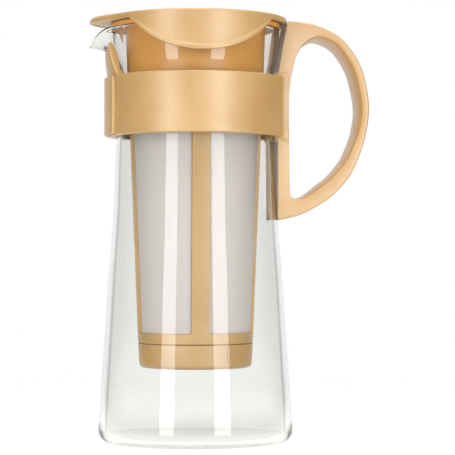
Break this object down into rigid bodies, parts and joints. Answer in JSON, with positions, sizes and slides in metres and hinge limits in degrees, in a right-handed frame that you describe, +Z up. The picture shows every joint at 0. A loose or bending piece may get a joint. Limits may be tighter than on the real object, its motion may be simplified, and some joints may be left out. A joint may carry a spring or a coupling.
{
  "type": "cold brew coffee maker",
  "caption": "Tapered glass cold brew pot with a moulded neck band and loop handle, a beaked lid, and a long conical mesh strainer with a twist-off bottom cap.",
  "frame": {"origin": "centre of the pot's flat underside, on the pot's axis, at the plane it stands on", "axes": "+Z up along the pot's axis, +X towards the handle, -X towards the pouring lip"},
  "size_m": [0.1398, 0.097, 0.2113],
  "materials": {
    "glass": "clear, fire-polished borosilicate glass",
    "tan_plastic": "satin moulded polypropylene in a warm tan",
    "mesh": "fine white polyester mesh"
  },
  "bodies": {
    "pot": {"glass_carafe": "glass", "handle_band": "tan_plastic"},
    "clasp": {"band_clasp": "tan_plastic"},
    "strainer": {"strainer_frame": "tan_plastic", "mesh_panel_1": "mesh", "mesh_panel_2": "mesh", "mesh_panel_3": "mesh", "mesh_panel_4": "mesh"},
    "lid": {"lid": "tan_plastic"},
    "cap": {"strainer_cap": "tan_plastic"}
  },
  "joints": [
    {"name": "strainer_lift", "type": "slide", "parent": "pot", "child": "strainer", "axis": [0, 0, 1], "range_m": [0, 0.175]},
    {"name": "lid_lift", "type": "slide", "parent": "strainer", "child": "lid", "axis": [0, 0, 1], "range_m": [0, 0.05]},
    {"name": "cap_twist", "type": "hinge", "parent": "strainer", "child": "cap", "pos_m": [0, 0, 0.0438], "axis": [0, 0, 1], "range_deg": [0, 40]},
    {"name": "clasp_slide", "type": "slide", "parent": "pot", "child": "clasp", "axis": [0, 0, -1], "range_m": [0, 0.032]}
  ]
}
